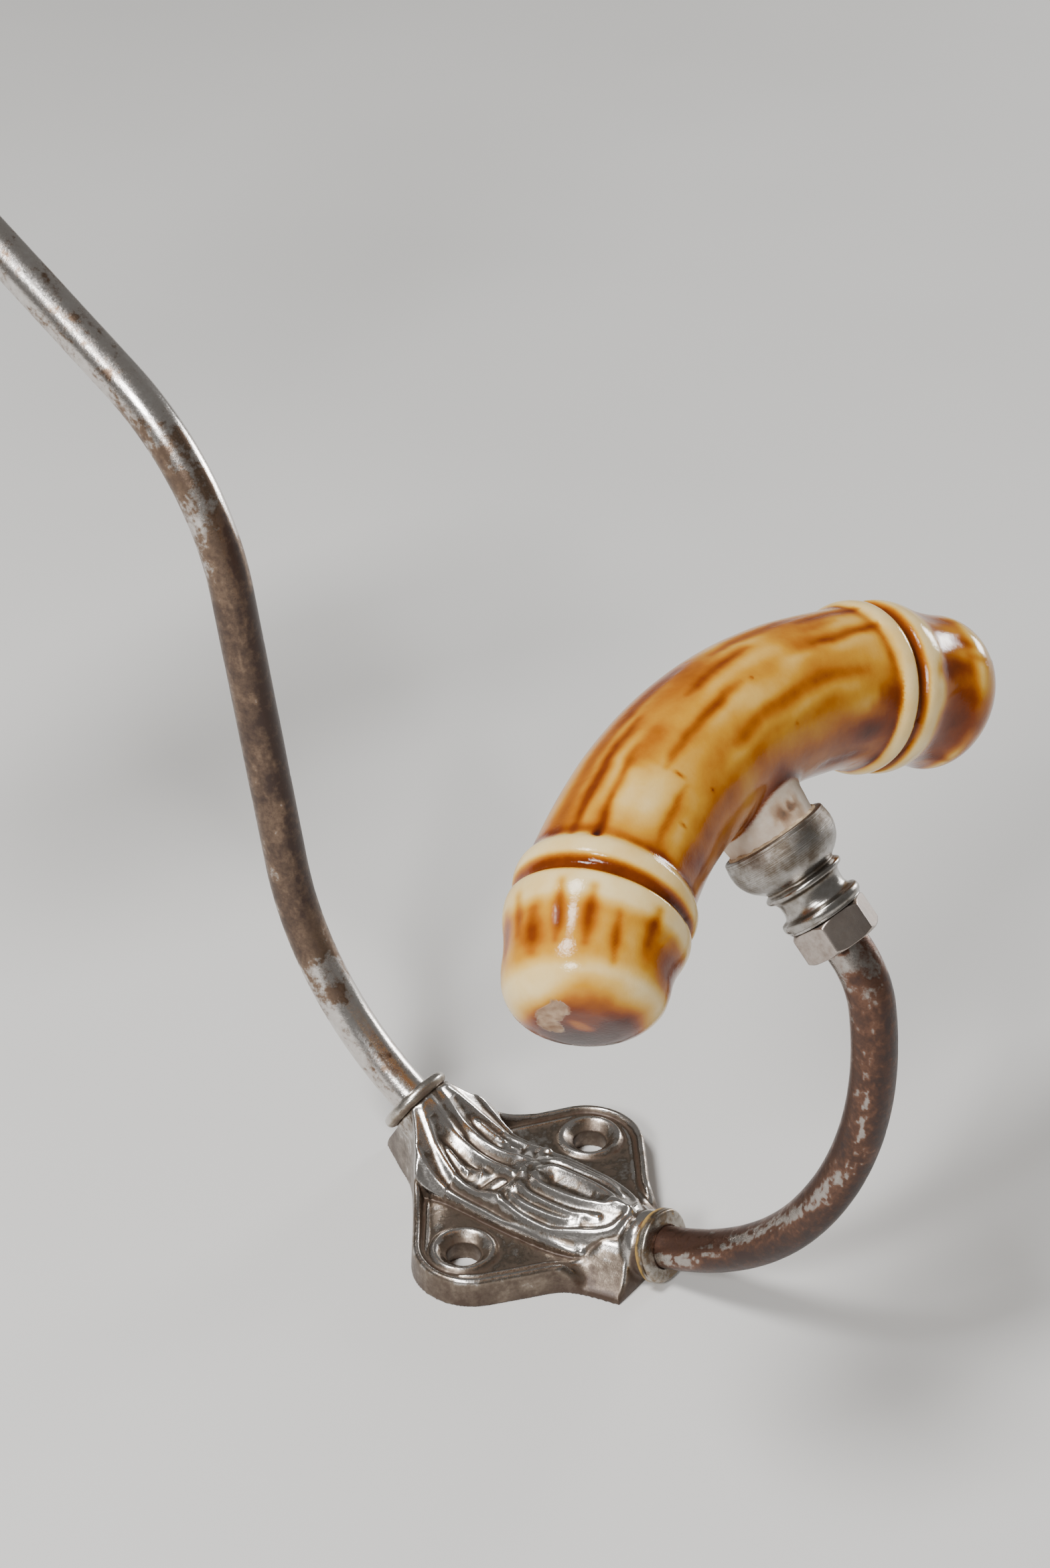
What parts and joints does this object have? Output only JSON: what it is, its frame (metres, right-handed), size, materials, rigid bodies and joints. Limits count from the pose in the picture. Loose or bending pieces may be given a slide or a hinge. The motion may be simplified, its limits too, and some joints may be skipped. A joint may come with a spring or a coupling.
{
  "type": "hat and coat hook",
  "caption": "Wall-mounted hook: small cast plate, a long bent rod for hats and a short one for coats, each with a bent ceramic bar held in a turned cup by a lock nut.",
  "frame": {"origin": "centre of the wall plate's flat back face, midway between the two screw holes", "axes": "+Z out of the wall, +Y up the wall towards the hat arm, +X to the right as seen by someone who faces the wall"},
  "size_m": [0.111, 0.2412, 0.203],
  "materials": {
    "plate_nickel": "worn nickel plate on cast brass",
    "hat_rod_steel": "nickel plated steel rod, speckled with rust",
    "coat_rod_steel": "steel rod, mostly brown rust with streaks of nickel",
    "ring_nickel": "worn nickel plate",
    "ring_brass": "nickel plate worn to brass at the edge",
    "ferrule_nickel": "turned and polished nickel plate with turning marks",
    "nut_nickel": "brushed nickel plate",
    "glaze": "glossy amber glaze with dark brown streaks",
    "cement": "matt aged plaster"
  },
  "bodies": {
    "hook_frame": {"wall_plate": "plate_nickel", "hat_arm": "hat_rod_steel", "coat_arm": "coat_rod_steel", "hat_socket_ring": "ring_nickel", "coat_socket_ring": "ring_brass"},
    "hat_nut": {"hat_lock_nut": "nut_nickel"},
    "hat_grip": {"hat_ferrule": "ferrule_nickel", "hat_handle": "glaze", "hat_handle_cement": "cement"},
    "coat_nut": {"coat_lock_nut": "nut_nickel"},
    "coat_grip": {"coat_ferrule": "ferrule_nickel", "coat_handle": "glaze", "coat_handle_cement": "cement"}
  },
  "joints": [
    {"name": "hat_handle_turn", "type": "hinge", "parent": "hook_frame", "child": "hat_grip", "pos_m": [0, 0.16138, 0.1912], "axis": [0, 0.8241, 0.5664], "range_deg": [-90, 90]},
    {"name": "coat_handle_turn", "type": "hinge", "parent": "hook_frame", "child": "coat_grip", "pos_m": [0, -0.03533, 0.1054], "axis": [0, 0.6756, 0.7373], "range_deg": [-90, 90]},
    {"name": "hat_nut_turn", "type": "hinge", "parent": "hook_frame", "child": "hat_nut", "pos_m": [0, 0.16138, 0.1912], "axis": [0, -0.8241, -0.5664], "range_deg": [0, 180]},
    {"name": "coat_nut_turn", "type": "hinge", "parent": "hook_frame", "child": "coat_nut", "pos_m": [0, -0.03533, 0.1054], "axis": [0, -0.6756, -0.7373], "range_deg": [0, 180]}
  ]
}
